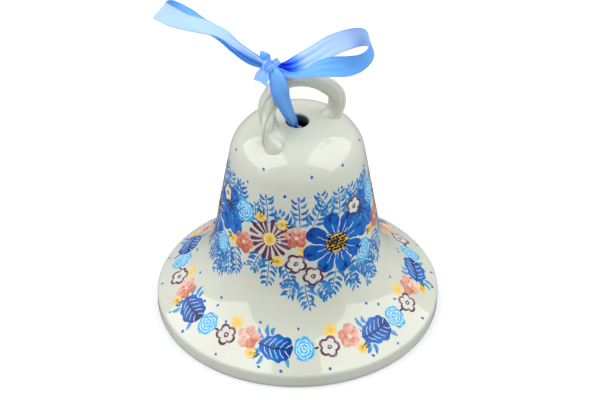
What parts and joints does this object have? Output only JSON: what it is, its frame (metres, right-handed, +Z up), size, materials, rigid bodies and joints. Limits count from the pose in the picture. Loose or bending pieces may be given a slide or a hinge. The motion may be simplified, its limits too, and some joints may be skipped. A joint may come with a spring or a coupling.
{
  "type": "porcelain bell",
  "caption": "Glazed hand bell with a wide flange, twisted strap handle, crown hole, bead clapper on a ribbon and a tied ribbon bow for hanging.",
  "frame": {"origin": "centre of the mouth, in the plane of the foot", "axes": "+Z up along the bell's axis towards the crown, -Y towards the front, +X to the right"},
  "size_m": [0.145, 0.145, 0.1737],
  "materials": {
    "glazed_ceramic": "gloss glaze over painted flowers",
    "clapper_ceramic": "gloss glaze",
    "satin_ribbon": "satin weave"
  },
  "bodies": {
    "bell": {"bell_shell": "glazed_ceramic", "bell_handle": "glazed_ceramic", "ribbon_knot": "satin_ribbon", "ribbon_strand": "satin_ribbon"},
    "hanging_ribbon": {"hanging_loop": "satin_ribbon"},
    "bow_ribbon": {"bow_loop": "satin_ribbon"},
    "tail_ribbon": {"ribbon_tail": "satin_ribbon"},
    "swivel": {"clapper_swivel": "satin_ribbon"},
    "clapper": {"clapper_ribbon": "satin_ribbon", "clapper_ball": "clapper_ceramic", "clapper_stop_knot": "satin_ribbon", "clapper_tails": "satin_ribbon"}
  },
  "joints": [
    {"name": "hanging_loop_lift", "type": "hinge", "parent": "bell", "child": "hanging_ribbon", "pos_m": [-0.0135, -0.0025, 0.1465], "axis": [0.309, 0.9511, 0], "range_deg": [-60, 62]},
    {"name": "bow_loop_lift", "type": "hinge", "parent": "bell", "child": "bow_ribbon", "pos_m": [-0.0135, -0.0025, 0.1465], "axis": [0.1219, -0.9925, 0], "range_deg": [-6, 50]},
    {"name": "tail_lift", "type": "hinge", "parent": "bell", "child": "tail_ribbon", "pos_m": [-0.0135, -0.0025, 0.1465], "axis": [-1, 0, 0], "range_deg": [-8, 50]},
    {"name": "clapper_turn", "type": "hinge", "parent": "bell", "child": "swivel", "pos_m": [0, 0, 0.105], "axis": [0, 0, 1], "range_deg": [-180, 180]},
    {"name": "clapper_swing", "type": "hinge", "parent": "swivel", "child": "clapper", "pos_m": [0, 0, 0.105], "axis": [1, 0, 0], "range_deg": [-21.5, 21.5]}
  ]
}
